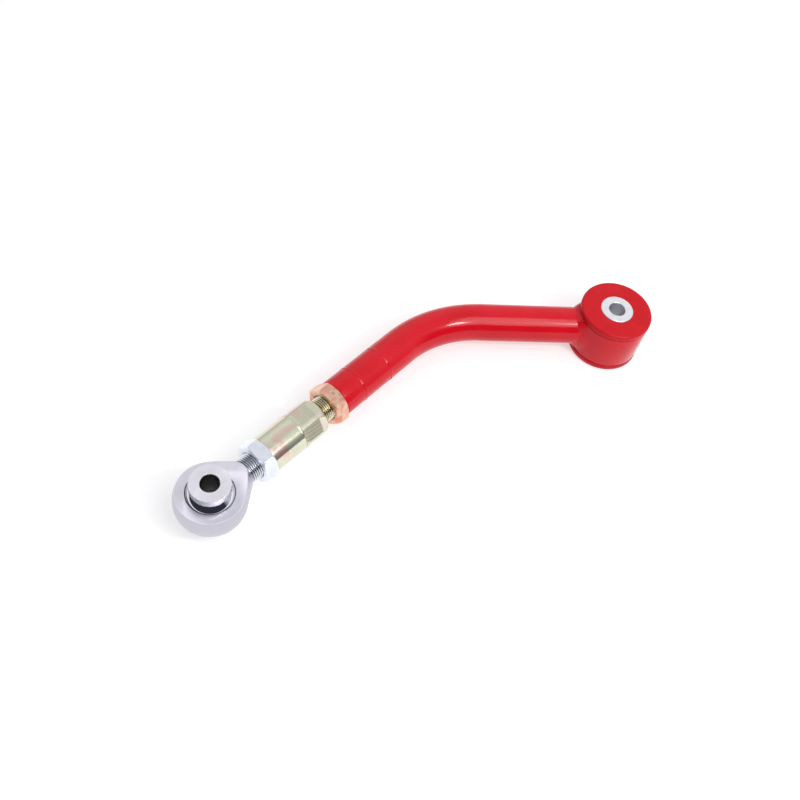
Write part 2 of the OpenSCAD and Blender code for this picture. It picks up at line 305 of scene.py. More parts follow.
def tube_path():
    """Centreline of the tube from the insert to the eye, with its girth at each point."""
    start = rod_centre + adjuster_axis * collar_end * MM
    bend_start = rod_centre + adjuster_axis * (corner_to_rod - bend_tangent) * MM
    inward = Vector((adjuster_axis.y, -adjuster_axis.x, 0))
    centre = bend_start + inward * BEND_RADIUS * MM
    bend_steps, straight_steps = 48, 24
    points = [(start.lerp(bend_start, k / straight_steps), 1.0) for k in range(straight_steps)]
    for k in range(bend_steps + 1):
        share = k / bend_steps
        spoke = Matrix.Rotation(-BEND_ANGLE * share, 3, "Z") @ (-inward)
        girth = 1 - BEND_FLATTENING * math.sin(math.pi * share) ** 0.25
        points.append((centre + spoke * BEND_RADIUS * MM, girth))
    bend_end = points[-1][0]
    end = eye_axis * shell_outer * MM
    for k in range(straight_steps):
        points.append((bend_end.lerp(end, (k + 1) / straight_steps), 1.0))
    return points


def wire(name, points, girths):
    """Mesh of edges through the points, with a girth on each."""
    mesh = bpy.data.meshes.new(name)
    mesh.from_pydata(points, [(i, i + 1) for i in range(len(points) - 1)], [])
    mesh.attributes.new("girth", "FLOAT", "POINT").data.foreach_set("value", girths)
    return in_scene(name, mesh)


def new_tree(name, sizes):
    """Geometry Nodes tree with a geometry input, a material input and named sizes."""
    tree = bpy.data.node_groups.new(name, "GeometryNodeTree")
    face = tree.interface
    face.new_socket("Geometry", in_out="INPUT", socket_type="NodeSocketGeometry")
    face.new_socket("Material", in_out="INPUT", socket_type="NodeSocketMaterial")
    for size, value in sizes.items():
        kind = "NodeSocketInt" if isinstance(value, int) else "NodeSocketFloat"
        face.new_socket(size, in_out="INPUT", socket_type=kind).default_value = value
    face.new_socket("Geometry", in_out="OUTPUT", socket_type="NodeSocketGeometry")
    return tree, put(tree, "NodeGroupInput").outputs


def close_tree(tree, geometry, sizes):
    """Ends a tree in Realize Instances and Set Material."""
    real = put(tree, "GeometryNodeRealizeInstances", {"Geometry": geometry})
    dressed = put(
        tree, "GeometryNodeSetMaterial", {"Geometry": real, "Material": sizes["Material"]}
    )
    put(tree, "NodeGroupOutput", {"Geometry": dressed})


def grow(name, source, tree, material, sizes, sharp_angle=32):
    """Runs a tree on a source object and returns the result as a plain mesh object."""
    modifier = source.modifiers.new(tree.name, "NODES")
    modifier.node_group = tree
    wanted = dict(sizes, Material=material)
    for item in tree.interface.items_tree:
        if item.in_out == "INPUT" and item.name in wanted:
            modifier[item.identifier] = wanted[item.name]
    graph = bpy.context.evaluated_depsgraph_get()
    mesh = bpy.data.meshes.new_from_object(source.evaluated_get(graph), depsgraph=graph)
    bpy.data.objects.remove(source)
    mesh.name = name
    return in_scene(name, smooth(mesh, sharp_angle))


def bent_tube_tree():
    """Tube swept along a wire, drawn in where the wire's girth is below one."""
    tree, sizes = new_tree("bent_tube", {"Tube Radius": 0.014, "Sides": TUBE_SIDES})
    path = put(tree, "GeometryNodeMeshToCurve", {"Mesh": sizes["Geometry"]})
    girth = put(tree, "GeometryNodeInputNamedAttribute", {"Name": "girth"}, data_type="FLOAT")
    ring = put(
        tree,
        "GeometryNodeCurvePrimitiveCircle",
        {"Resolution": sizes["Sides"], "Radius": sizes["Tube Radius"]},
    )
    skin = put(
        tree, "GeometryNodeCurveToMesh", {"Curve": path, "Profile Curve": ring, "Scale": girth}
    )
    close_tree(tree, skin, sizes)
    return tree


def outward(piece, place=None):
    """Turns every face outwards, after putting the mesh in its place."""
    shape = bmesh.new()
    shape.from_mesh(piece.data)
    if place is not None:
        shape.transform(place)
    bmesh.ops.remove_doubles(shape, verts=shape.verts, dist=1e-7)
    bmesh.ops.dissolve_degenerate(shape, edges=shape.edges, dist=1e-7)
    bmesh.ops.recalc_face_normals(shape, faces=shape.faces)
    shape.to_mesh(piece.data)
    shape.free()
    return piece


def apply_modifiers(piece):
    """Turns the piece with its modifiers into a plain mesh."""
    graph = bpy.context.evaluated_depsgraph_get()
    mesh = bpy.data.meshes.new_from_object(piece.evaluated_get(graph), depsgraph=graph)
    piece.modifiers.clear()
    piece.data = smooth(mesh)


def cope(piece, radius):
    """Moves the open end of the tube onto the round wall of the eye shell."""
    for v in piece.data.vertices:
        distance = v.co.dot(eye_axis)
        aside = v.co - eye_axis * distance
        if aside.length < 2 * tube_radius * MM and distance < (radius + 0.1) * MM:
            across = aside.dot(Vector((-eye_axis.y, eye_axis.x, 0)))
            v.co = aside + eye_axis * math.sqrt((radius * MM) ** 2 - across**2)


path = tube_path()
arm_tube = grow(
    "arm_tube",
    wire("tube_wire", [p for p, girth in path], [girth for p, girth in path]),
    bent_tube_tree(),
    red_coat,
    {"Tube Radius": tube_radius * MM, "Sides": TUBE_SIDES},
)
cope(arm_tube, shell_outer)
outward(arm_tube)
wall = arm_tube.modifiers.new("tube_wall", "SOLIDIFY")
wall.thickness = TUBE_WALL * MM
wall.offset = -1.0
apply_modifiers(arm_tube)
hand_over(arm_tube, "arm", "red_powder_coat", red_coat, "arm_tube")


# ----------------------------------------------------------------- eye weld
# A fillet weld runs all the way round the tube where it meets the shell. It
# was laid by hand, so it shows small ripples under the powder coat.

EYE_WELD_LEG = 4.2
EYE_WELD_RIPPLE = 1.5
EYE_WELD_RELIEF = 0.16
EYE_WELD_KNEE = 0.34
WELD_BITE = 0.6
eye_weld_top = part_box("eye_weld")[1].z / MM


def weld_ripple_tree():
    """Raises the crescent ripples of a hand-laid weld from a smooth bead."""
    tree, sizes = new_tree(
        "weld_ripple", {"Ripple Spacing": 1.5, "Ripple Height": 0.0001, "Bow": 0.6}
    )
    values = {socket.name: socket for socket in sizes}
    for name in ("along", "across", "open"):
        values[name] = put(
            tree, "GeometryNodeInputNamedAttribute", {"Name": name}, data_type="FLOAT"
        )
    for name, operation, *terms in (
        ("square", "MULTIPLY", "across", "across"),
        ("bowed", "MULTIPLY", "square", "Bow"),
        ("spaced", "DIVIDE", "along", "Ripple Spacing"),
        ("count", "ADD", "spaced", "bowed"),
        ("angle", "MULTIPLY", "count", math.pi),
        ("wave", "SINE", "angle"),
        ("hump", "ABSOLUTE", "wave"),
        ("raised", "MULTIPLY", "hump", "Ripple Height"),
        ("height", "MULTIPLY", "raised", "open"),
    ):
        inputs = {i: values.get(term, term) for i, term in enumerate(terms)}
        values[name] = put(tree, "ShaderNodeMath", inputs, operation=operation)
    normal = put(tree, "GeometryNodeInputNormal")
    lift = put(
        tree, "ShaderNodeVectorMath", {0: normal, "Scale": values["height"]}, operation="SCALE"
    )
    raised = put(tree, "GeometryNodeSetPosition", {"Geometry": sizes["Geometry"], "Offset": lift})
    close_tree(tree, raised, sizes)
    return tree


def bead(name, sections, closed_path=True):
    """Bead through cross-sections; each is a list of (point, along, across, open)."""
    count = len(sections[0])
    spots = [spot for section in sections for spot in section]
    faces = ring_faces(len(sections), count, closed_path)
    if not closed_path:
        faces.append(tuple(range(count)))
        last = (len(sections) - 1) * count
        faces.append(tuple(range(last, last + count)))
    mesh = bpy.data.meshes.new(name)
    mesh.from_pydata([spot[0] for spot in spots], [], faces)
    for column, attribute in enumerate(("along", "across", "open"), start=1):
        layer = mesh.attributes.new(attribute, "FLOAT", "POINT")
        layer.data.foreach_set("value", [spot[column] for spot in spots])
    shape = bmesh.new()
    shape.from_mesh(mesh)
    bmesh.ops.recalc_face_normals(shape, faces=shape.faces)
    shape.to_mesh(mesh)
    shape.free()
    return in_scene(name, mesh)


def eye_weld_section(angle, along):
    """Cross-section of the fillet at an angle round the tube."""
    up, aside = math.cos(angle), math.sin(angle)

    def on_shell(radius):
        return math.sqrt(shell_outer**2 - (radius * aside) ** 2)

    climb = min(tube_radius + EYE_WELD_LEG, eye_weld_top / max(abs(up), 0.01)) - tube_radius
    toe = (on_shell(tube_radius) + EYE_WELD_LEG, tube_radius)
    top = (on_shell(tube_radius + climb), tube_radius + climb)
    knee = (
        on_shell(tube_radius) + EYE_WELD_KNEE * EYE_WELD_LEG, tube_radius + EYE_WELD_KNEE * climb
    )
    steps = 10
    section = []
    for k in range(steps + 1):
        t = k / steps
        s = [(1 - t) ** 2 * a + 2 * t * (1 - t) * b + t**2 * c for a, b, c in zip(toe, knee, top)]
        free = math.sin(math.pi * t) ** 0.7
        section.append((s[0], s[1], 2 * t - 1, free))
    section.append((on_shell(tube_radius) - WELD_BITE, tube_radius - WELD_BITE, 0.0, 0.0))
    made = []
    for distance, radius, across, free in section:
        spot = Vector((radius * up, radius * aside, distance)) * MM
        made.append((eye_place @ spot, along, across, free))
    return made


weld_steps = 720
weld_length = 2 * math.pi * tube_radius
ripples = round(weld_length / EYE_WELD_RIPPLE)
weld_source = bead(
    "eye_weld_bead",
    [
        eye_weld_section(2 * math.pi * k / weld_steps, weld_length * k / weld_steps)
        for k in range(weld_steps)
    ],
)
ripple_tree = weld_ripple_tree()
eye_weld = grow(
    "eye_weld",
    weld_source,
    ripple_tree,
    red_coat,
    {"Ripple Spacing": weld_length / ripples, "Ripple Height": EYE_WELD_RELIEF * MM, "Bow": 0.7},
    sharp_angle=60,
)
hand_over(eye_weld, "arm", "red_powder_coat", red_coat, "eye_weld")


# -------------------------------------------------------------- tube insert
# A turned steel insert with a left-hand thread closes the other end of the
# tube: its collar is flush with the tube and its spigot sits inside.

insert_outline = rounded(
    [
        (insert_inner, insert_end, 0.3),
        (insert_inner, insert_start + 1.0, 0.0),
        (insert_inner + 1.0, insert_start, 0.2),
        (tube_radius, insert_start, 0.5),
        (tube_radius, collar_end - 0.5, 0.2),
        (tube_radius - 0.5, collar_end - 0.05, 0.0),
        (tube_radius - TUBE_WALL - 0.05, collar_end - 0.05, 0.0),
        (tube_radius - TUBE_WALL - 0.05, insert_end, 0.5),
    ]
)
tube_insert = turn("tube_insert", insert_outline, adjuster_place)
hand_over(tube_insert, "arm", "red_powder_coat", red_coat, "tube_insert")


# -------------------------------------------- collar weld and slot welds
# The collar is butt welded to the tube and ground almost flush. Six slot
# welds through the tube wall hold the far end of the spigot.

SLOT_WELDS = 6
SLOT_ARC = math.radians(46)
FIRST_SLOT_AT = 24
STOP_SHARE = 0.3
COLLAR_STOPS = (math.radians(42), math.radians(-140))
PROUD = 0.14
LUMP_WIDTH = 0.8
LUMP_HEIGHT = 0.4
CROWN_DROP = 0.04
slot_low, slot_high, slot_root, slot_crown = reach("slot_welds", rod_centre, adjuster_axis)


def ring_section(angle, centre, half_width, root, crown, stops):
    """Cross-section of a flush weld, with a small lump where a run stopped."""
    lump = sum(math.exp(-(((angle - at) * tube_radius / LUMP_WIDTH) ** 2)) for at in stops)
    rise = crown + PROUD - tube_radius
    top = tube_radius + rise * (0.75 + 0.25 * math.sin(9 * angle) * math.sin(5 * angle + 1))
    profile = [
        (-half_width, tube_radius - 0.02, -1.0, 0.0),
        (-0.45 * half_width, tube_radius + 0.12, -0.5, 0.8),
        (0.0, top + LUMP_HEIGHT * lump, 0.0, 1.0),
        (0.45 * half_width, tube_radius + 0.12, 0.5, 0.8),
        (half_width, tube_radius - 0.02, 1.0, 0.0),
        (0.0, root, 0.0, 0.0),
    ]
    made = []
    for offset, radius, across, free in profile:
        spot = Vector((radius * math.cos(angle), radius * math.sin(angle), centre + offset)) * MM
        made.append((adjuster_place @ spot, angle * tube_radius, across, free))
    return made


collar_steps = 480
collar_source = bead(
    "collar_bead",
    [
        ring_section(
            2 * math.pi * k / collar_steps - math.pi,
            collar_end,
            (weld_high - weld_low) / 2,
            weld_root,
            weld_crown - CROWN_DROP,
            COLLAR_STOPS,
        )
        for k in range(collar_steps)
    ],
)
fine_ripple = {"Ripple Spacing": 1.1, "Ripple Height": 0.05 * MM, "Bow": 0.8}
insert_weld = grow(
    "insert_weld", collar_source, ripple_tree, red_coat, fine_ripple, sharp_angle=60
)
hand_over(insert_weld, "arm", "red_powder_coat", red_coat, "insert_weld")

slot_middle = (slot_low + slot_high) / 2
slot_steps = 60
for number in range(SLOT_WELDS):
    middle = math.radians(360 / SLOT_WELDS * number + FIRST_SLOT_AT)
    slot_source = bead(
        "slot_bead",
        [
            ring_section(
                middle + SLOT_ARC * (k / slot_steps - 0.5),
                slot_middle,
                (slot_high - slot_low) / 2,
                slot_root,
                slot_crown - CROWN_DROP,
                (middle + STOP_SHARE * SLOT_ARC,),
            )
            for k in range(slot_steps + 1)
        ],
        closed_path=False,
    )
    name = f"slot_weld_{number + 1}"
    slot_weld = grow(name, slot_source, ripple_tree, red_coat, fine_ripple, sharp_angle=60)
    hand_over(slot_weld, "arm", "red_powder_coat", red_coat, "slot_welds")


# ------------------------------------------------------------ bushing halves
# Two flanged polyurethane halves are pressed into the eye shell from above
# and below. They are cast in a mould with turned faces, so they are satin.


def cast_urethane():
    """Cast polyurethane: satin red, with the faint rings that the turned mould leaves."""
    material, tree, shader, place = finish(
        "red_polyurethane", "#D0121C", 0.0, 0.33, Specular_IOR_Level=0.16
    )
    tone, _ = film(tree, place, 14, "#BE111B", "#C61823")
    # the mould's turning marks are about 0.9 mm apart
    rings = put(
        tree,
        "ShaderNodeTexWave",
        {"Vector": place, "Scale": math.pi / (10 * 0.9 * MM), "Distortion": 0.4},
        wave_type="RINGS",
        rings_direction="Z",
    )
    turned = put(tree, "ShaderNodeBump", {"Height": rings.outputs["Fac"], "Distance": 0.006 * MM})
    grain = put(tree, "ShaderNodeTexNoise", {"Vector": place, "Scale": 1 / (0.7 * MM)})
    skin = lay(tree, shader, tone, grain, (0.28, 0.44), grain, 0.006)
    plug(skin, {"Normal": turned})
    return material


FLANGE_ROUND = 1.8
urethane = cast_urethane()
for node, turned_over in (("bushing_upper", 1), ("bushing_lower", -1)):
    axis = Z_AXIS * turned_over
    split, top, hub_inner, flange_radius = reach(node, eye_centre, axis)
    hub_radius = shell_inner - 0.05
    outline = rounded(
        [
            (hub_inner, split, 0.2),
            (hub_radius, split, 0.4),
            (hub_radius, shell_high + 0.02, 0.0),
            (flange_radius - 0.01, shell_high + 0.02, 0.6),
            (flange_radius - 0.01, top, FLANGE_ROUND),
            (hub_inner, top, 0.25),
        ],
        steps=8,
    )
    half = turn(node, outline, turned_to(eye_centre, axis), steps=192)
    hand_over(half, "arm", "red_polyurethane", urethane, node)


# ------------------------------------------------------------- crush sleeve
# The sleeve that the bolt clamps is turned from steel tube: faced and
# deburred, bright zinc on the outside, darker down the drawn bore.


def machined_sleeve():
    """Zinc-plated turned steel: nearly white on the face, with fine facing marks."""
    material, tree, shader, place = finish("bright_turned_steel", "#F0F0F4", 1.0, 0.42)
    # facing marks are 0.25 mm apart on the real face, and drawn at 0.8 mm
    marks = put(
        tree,
        "ShaderNodeTexWave",
        {"Vector": place, "Scale": math.pi / (10 * 0.8 * MM)},
        wave_type="RINGS",
        rings_direction="Z",
    )
    tone, dull = film(tree, place, 3, "#EAEAEF", "#F6F6F9")
    lay(tree, shader, tone, dull, (0.34, 0.5), marks.outputs["Fac"], 0.004)
    return material


sleeve_low, sleeve_high, sleeve_bore, sleeve_radius = reach("crush_sleeve", eye_centre, Z_AXIS)
EDGE_BREAK = 0.4
INSET = 0.01
sleeve_high, sleeve_low = sleeve_high - INSET, sleeve_low + INSET
sleeve_outline = [
    (sleeve_bore, sleeve_low + EDGE_BREAK),
    (sleeve_bore, sleeve_high - EDGE_BREAK),
    (sleeve_bore + EDGE_BREAK, sleeve_high),
    (sleeve_radius - EDGE_BREAK, sleeve_high),
    (sleeve_radius, sleeve_high - EDGE_BREAK),
    (sleeve_radius, sleeve_low + EDGE_BREAK),
    (sleeve_radius - EDGE_BREAK, sleeve_low),
    (sleeve_bore + EDGE_BREAK, sleeve_low),
]
crush_sleeve = turn("crush_sleeve", sleeve_outline, turned_to(eye_centre, Z_AXIS))
sleeve_steel = machined_sleeve()
hand_over(crush_sleeve, "bushing_sleeve", "sleeve_steel", sleeve_steel, "crush_sleeve", bevel=0.12)


# -------------------------------------------------------------- arm jam nut
# A left-hand hex jam nut locks the stud against the insert. It is cold
# formed steel, chamfered on both faces, and yellow zinc plated.

HEX_SIDES = 6
NUT_SINK = 1.35
WASHER_STEP = 0.6
NUT_CHAMFER = math.radians(30)


def zinc_plate(name, colour, shades, roughness, patch_mm, fleck_mm=2.5):
    """Chromate over zinc plating: patches of thin-film colour on satin metal."""
    material, tree, shader, place = finish(name, colour, 1.0, roughness)
    patches = put(
        tree,
        "ShaderNodeTexNoise",
        {"Vector": place, "Scale": 1 / (patch_mm * MM), "Detail": 1.0, "Distortion": 0.8},
    )
    tone = put(
        tree,
        "ShaderNodeValToRGB",
        {"Fac": patches},
        stops=[(0.25 + 0.5 * i / (len(shades) - 1), shade) for i, shade in enumerate(shades)],
    )
    fleck = put(
        tree, "ShaderNodeTexNoise", {"Vector": place, "Scale": 1 / (fleck_mm * MM), "Detail": 4.0}
    )
    gloss = (0.7 * roughness, 1.4 * roughness)
    lay(tree, shader, tone, fleck, gloss, fleck, 0.005)
    return material


def hex_nut(name, node, corner_at):
    """Hex nut: flats cut by a 30 degree chamfer on both faces, and a countersunk bore."""
    low, high, bore, corner = reach(node, rod_centre, adjuster_axis)
    flat = corner * math.cos(math.pi / HEX_SIDES)
    washer = flat - WASHER_STEP
    mouth = bore + NUT_SINK
    slope = math.tan(NUT_CHAMFER)

    def side(angle):
        off = angle % (2 * math.pi / HEX_SIDES) - math.pi / HEX_SIDES
        return flat / math.cos(off)

    def drop(angle):
        return (side(angle) - washer) * slope

    outline = [
        (bore, low + NUT_SINK),
        (mouth, low),
        (washer, low),
        (side, lambda angle: low + drop(angle)),
        (side, lambda angle: high - drop(angle)),
        (washer, high),
        (mouth, high),
        (bore, high - NUT_SINK),
    ]
    spun = adjuster_place @ Matrix.Rotation(math.radians(corner_at), 4, "Z")
    return turn(name, outline, spun, steps=HEX_SIDES * 24)


nut_gold = zinc_plate(
    "yellow_zinc_nut", "#E8C4B0", ("#DC8672", "#E6A490", "#E8C6AA", "#D69A86"), 0.3, 8
)
arm_nut = hex_nut("arm_jam_nut", "arm_jam_nut", corner_at=38.0)
hand_over(arm_nut, "arm_nut", "yellow_zinc_nut", nut_gold, "arm_jam_nut", bevel=0.25)


# ------------------------------------------------------------ adjuster stud
# The stud is a left-hand threaded rod fixed in the adjuster sleeve. The
# thread is rolled and yellow zinc plated, and its roots are painted dark
# olive as painted shade.

THREAD_PITCH = 1.5875
THREAD_SIDES = 72
LEFT_HAND, RIGHT_HAND = -1.0, 1.0
ROWS_PER_PITCH = 8
THREAD_DEPTH_SHARE = 0.6134


def cut_thread_tree():
    """Helical thread with a run-out at both ends, closed by two end caps."""
    tree, sizes = new_tree(
        "cut_thread",
        {
            "Turns": 30.0,
            "Pitch": 0.0016,
            "Major Radius": 0.0095,
            "Depth": 0.001,
            "Hand": 1.0,
            "Start Run-out": 0.001,
            "End Run-out": 0.001,
            "Sides": 72,
            "Rows": 200,
        },
    )
    values = {socket.name: socket for socket in sizes}
    spot = put(tree, "ShaderNodeSeparateXYZ", {0: put(tree, "GeometryNodeInputPosition")})
    values |= {"x": spot.outputs["X"], "y": spot.outputs["Y"]}
    for name, operation, *terms in (
        ("length", "MULTIPLY", "Turns", "Pitch"),
        ("rows high", "ADD", "Turns", 1.0),
        # a sheet is wound up: x is the share of a turn, and y counts the turns
        ("share", "ADD", "x", 0.5),
        ("half", "MULTIPLY", "rows high", 0.5),
        ("row", "ADD", "y", "half"),
        ("wound", "ADD", "row", "share"),
        ("from start", "SUBTRACT", "wound", 1.0),
        ("climbed", "MULTIPLY", "from start", "Pitch"),
        ("above start", "MAXIMUM", "climbed", 0.0),
        ("along", "MINIMUM", "above start", "length"),
        # the ridge is a tent over each pitch, cut off flat at crest and root
        ("nudged", "ADD", "row", 0.0001),
        ("phase", "FRACT", "nudged"),
        ("off crest", "SUBTRACT", "phase", 0.5),
        ("distance", "ABSOLUTE", "off crest"),
        ("doubled", "MULTIPLY", "distance", 2.0),
        ("tent", "SUBTRACT", 1.0, "doubled"),
        ("above root", "SUBTRACT", "tent", 0.12),
        ("flank", "CLAMPED MULTIPLY", "above root", 1.32),
        # it fades at both ends
        ("start", "CLAMPED DIVIDE", "along", "Start Run-out"),
        ("left over", "SUBTRACT", "length", "along"),
        ("end", "CLAMPED DIVIDE", "left over", "End Run-out"),
        ("fade", "MULTIPLY", "start", "end"),
        ("ridge", "MULTIPLY", "flank", "fade"),
        ("core", "SUBTRACT", "Major Radius", "Depth"),
        ("rise", "MULTIPLY", "ridge", "Depth"),
        ("radius", "ADD", "core", "rise"),
        ("turned", "MULTIPLY", "share", 2 * math.pi),
        ("angle", "MULTIPLY", "turned", "Hand"),
        ("cosine", "COSINE", "angle"),
        ("sine", "SINE", "angle"),
        ("place x", "MULTIPLY", "radius", "cosine"),
        ("place y", "MULTIPLY", "radius", "sine"),
        ("cap sides", "SUBTRACT", "Sides", 1.0),
    ):
        values[name] = put(
            tree,
            "ShaderNodeMath",
            {i: values.get(term, term) for i, term in enumerate(terms)},
            operation=operation.removeprefix("CLAMPED "),
            use_clamp=operation.startswith("CLAMPED"),
        )
    sheet = put(
        tree,
        "GeometryNodeMeshGrid",
        {
            "Size X": 1.0,
            "Size Y": values["rows high"],
            "Vertices X": sizes["Sides"],
            "Vertices Y": sizes["Rows"],
        },
    )
    place = put(
        tree,
        "ShaderNodeCombineXYZ",
        {"X": values["place x"], "Y": values["place y"], "Z": values["along"]},
    )
    marked = put(
        tree,
        "GeometryNodeStoreNamedAttribute",
        {"Geometry": sheet, "Name": "ridge", "Value": values["ridge"]},
        data_type="FLOAT",
        domain="POINT",
    )
    wound = put(tree, "GeometryNodeSetPosition", {"Geometry": marked, "Position": place})
    caps = []
    for height in (0.0, values["length"]):
        disc = put(
            tree,
            "GeometryNodeMeshCircle",
            {"Vertices": values["cap sides"], "Radius": values["core"]},
            fill_type="NGON",
        )
        lifted = put(
            tree,
            "GeometryNodeSetPosition",
            {"Geometry": disc, "Offset": put(tree, "ShaderNodeCombineXYZ", {"Z": height})},
        )
        caps.append(lifted)
    whole = put(tree, "GeometryNodeJoinGeometry")
    for shape in (wound, *caps):
        plug(whole, {0: shape})
    sewn = put(tree, "GeometryNodeMergeByDistance", {"Geometry": whole, "Distance": 0.00001})
    close_tree(tree, sewn, sizes)
    return tree


def thread(name, material, start, end, radius, depth, hand, start_fade, end_fade):
    """Threaded rod between two distances along the adjuster axis."""
    turns = (end - start) / THREAD_PITCH
    rod = grow(
        name,
        wire(name + "_wire", [(0, 0, 0), (0, 0, 1)], [1.0, 1.0]),
        thread_tree,
        material,
        {
            "Turns": turns,
            "Pitch": THREAD_PITCH * MM,
            "Major Radius": radius * MM,
            "Depth": depth * MM,
            "Hand": hand,
            "Start Run-out": start_fade * MM,
            "End Run-out": end_fade * MM,
            "Sides": THREAD_SIDES + 1,
            "Rows": round((turns + 1) * ROWS_PER_PITCH) + 1,
        },
    )
    return outward(rod, adjuster_place @ Matrix.Translation((0, 0, start * MM)))


def plated_thread(name, colour, shades, root_shade_colour, roughness):
    """Plated thread: bright flanks, and roots painted darker as painted shade in the grooves."""
    material, tree, shader, place = finish(name, colour, 1.0, roughness)
    tone, drift = film(tree, place, 6, *shades)
    # the roots are painted darker by the ridge height, as painted shade in the thread's grooves
    ridge = put(tree, "ShaderNodeAttribute", attribute_name="ridge")
    shaded = put(
        tree,
        "ShaderNodeMix",
        {"Factor": ridge.outputs["Fac"], 6: linear(root_shade_colour), 7: tone},
        data_type="RGBA",
    )
    grit = put(tree, "ShaderNodeTexNoise", {"Vector": place, "Scale": 1 / (0.8 * MM)})
    gloss = (roughness - 0.06, roughness + 0.08)
    lay(tree, shader, shaded.outputs[2], drift, gloss, grit, 0.01)
    return material


thread_tree = cut_thread_tree()
adjuster_low, adjuster_high, _, adjuster_radius = reach(
    "adjuster_sleeve", rod_centre, adjuster_axis
)
stud_low, stud_high, _, stud_radius = reach("adjuster_stud", rod_centre, adjuster_axis)
thread_depth = THREAD_DEPTH_SHARE * THREAD_PITCH
# the last colour is the painted shade in the thread roots
thread_gold = plated_thread(
    "yellow_zinc_thread", "#E8DAB0", ("#F6EECE", "#FEFAEC"), "#7C6E42", 0.24
)
stud_thread = thread(
    "stud_thread",
    thread_gold,
    adjuster_high + 0.02,
    stud_high,
    stud_radius,
    thread_depth,
    LEFT_HAND,
    start_fade=0.8,
    end_fade=1.4,
)
stud_core = stud_radius - thread_depth
seat_end = adjuster_high + 0.03
stud_seat = turn(
    "adjuster_stud",
    [(stud_core, stud_low), (stud_core, seat_end), (0.0, seat_end), (0.0, stud_low)],
    adjuster_place,
    steps=THREAD_SIDES,
)


def joined(name, *pieces):
    """One mesh object made of several closed shells."""
    whole = bmesh.new()
    for piece in pieces:
        whole.from_mesh(piece.data)
    mesh = bpy.data.meshes.new(name)
    whole.to_mesh(mesh)
    whole.free()
    for piece in pieces:
        bpy.data.objects.remove(piece)
    return in_scene(name, smooth(mesh))


stud = joined("adjuster_stud", stud_thread, stud_seat)
hand_over(stud, "stud", "yellow_zinc_thread", thread_gold, "adjuster_stud")


# ---------------------------------------------------------- adjuster sleeve
# The adjuster is turned from steel bar, threaded at one end. Six flats for a
# wrench are milled near its rounded nose, and it is yellow zinc plated.

BODY_RADIUS = 13.9
WRENCH_FLAT = 13.2
NOSE_LENGTH = 6.8
NOSE_END_RADIUS = 10.7
WRENCH_LENGTH = 16.5
CUTTER_RADIUS = 11.0
WRENCH_CORNER_AT = 29.5
SHANK_HOLE_DEPTH = 34.0
hole_radius = stud_radius + 0.075
hole_radius = stud_radius + 0.075
flats_end = adjuster_high - NOSE_LENGTH
flats_start = flats_end - WRENCH_LENGTH
adjuster_shades = ("#EAB8B2", "#E4CCBE", "#DCDCC4", "#D4D8BE", "#E8C6C0")


def milled_sleeve():
    """Yellow zinc over turned steel, the milled flats rougher than the round part, and their feed
    marks painted dark as painted shade.
    """
    material = zinc_plate("yellow_zinc_adjuster", "#E8D4C8", adjuster_shades, 0.15, 17)
    tree = material.node_tree
    shader = tree.nodes["Principled BSDF"]
    place = put(tree, "ShaderNodeTexCoord").outputs["Object"]
    milled = put(tree, "ShaderNodeAttribute", attribute_name="milled").outputs["Fac"]
    # feed marks of the cutter cross the flats at a slant, about 0.9 mm apart
    lines = put(
        tree,
        "ShaderNodeTexWave",
        {
            "Vector": place,
            "Scale": 2 * math.pi / (10 * math.sqrt(3) * 0.9 * MM),
            "Distortion": 3.0,
            "Detail": 2.0,
        },
        bands_direction="DIAGONAL",
    )
    # the feed marks are real, but their dark colour is painted shade, strongest on two opposite
    # flats
    hatch_shade = put(tree, "ShaderNodeMath", {0: milled, 1: lines.outputs["Fac"]}, operation="MULTIPLY")
    hatched_shaded = put(
        tree,
        "ShaderNodeMix",
        {
            "Factor": hatch_shade,
            6: shader.inputs["Base Color"].links[0].from_socket,
            7: linear("#6A605A"),
        },
        data_type="RGBA",
    )
    rough = put(
        tree,
        "ShaderNodeMath",
        {0: milled, 1: 0.22, 2: shader.inputs["Roughness"].links[0].from_socket},
        operation="MULTIPLY_ADD",
    )
    scored = put(
        tree,
        "ShaderNodeBump",
        {
            "Height": lines.outputs["Fac"],
            "Strength": milled,
            "Distance": 0.05 * MM,
            "Normal": shader.inputs["Normal"].links[0].from_socket,
        },
    )
    plug(shader, {"Base Color": hatched_shaded.outputs[2], "Roughness": rough, "Normal": scored})
    return material


def sleeve_outline_and_flats():
    """Outline of the adjuster; where the flats are, the radius follows the hexagon."""

    def wrench_face(s, outer):
        run_in = max(0.0, flats_start + 4.0 - s)
        depth = CUTTER_RADIUS - math.sqrt(max(CUTTER_RADIUS**2 - run_in**2, 0.0))
        face = WRENCH_FLAT + depth

        def radius(angle):
            off = angle % (2 * math.pi / HEX_SIDES) - math.pi / HEX_SIDES
            return min(outer, face / math.cos(off))

        return radius

    corner = adjuster_radius
    stations = [(flats_start - 0.6, BODY_RADIUS)]
    for k in range(9):
        s = flats_start - 0.4 + 4.4 * k / 8
        stations.append((s, min(corner, BODY_RADIUS + 0.9 * max(0.0, s - flats_start))))
    stations.append((flats_end - 1.0, corner))
    nose = NOSE_LENGTH + 1.0
    for k in range(13):
        turned = math.pi / 2 * k / 12
        fall = (corner - NOSE_END_RADIUS) * (1 - math.cos(turned)) ** 1.3
        stations.append((flats_end - 1.0 + nose * math.sin(turned), corner - fall))
    return stations, wrench_face


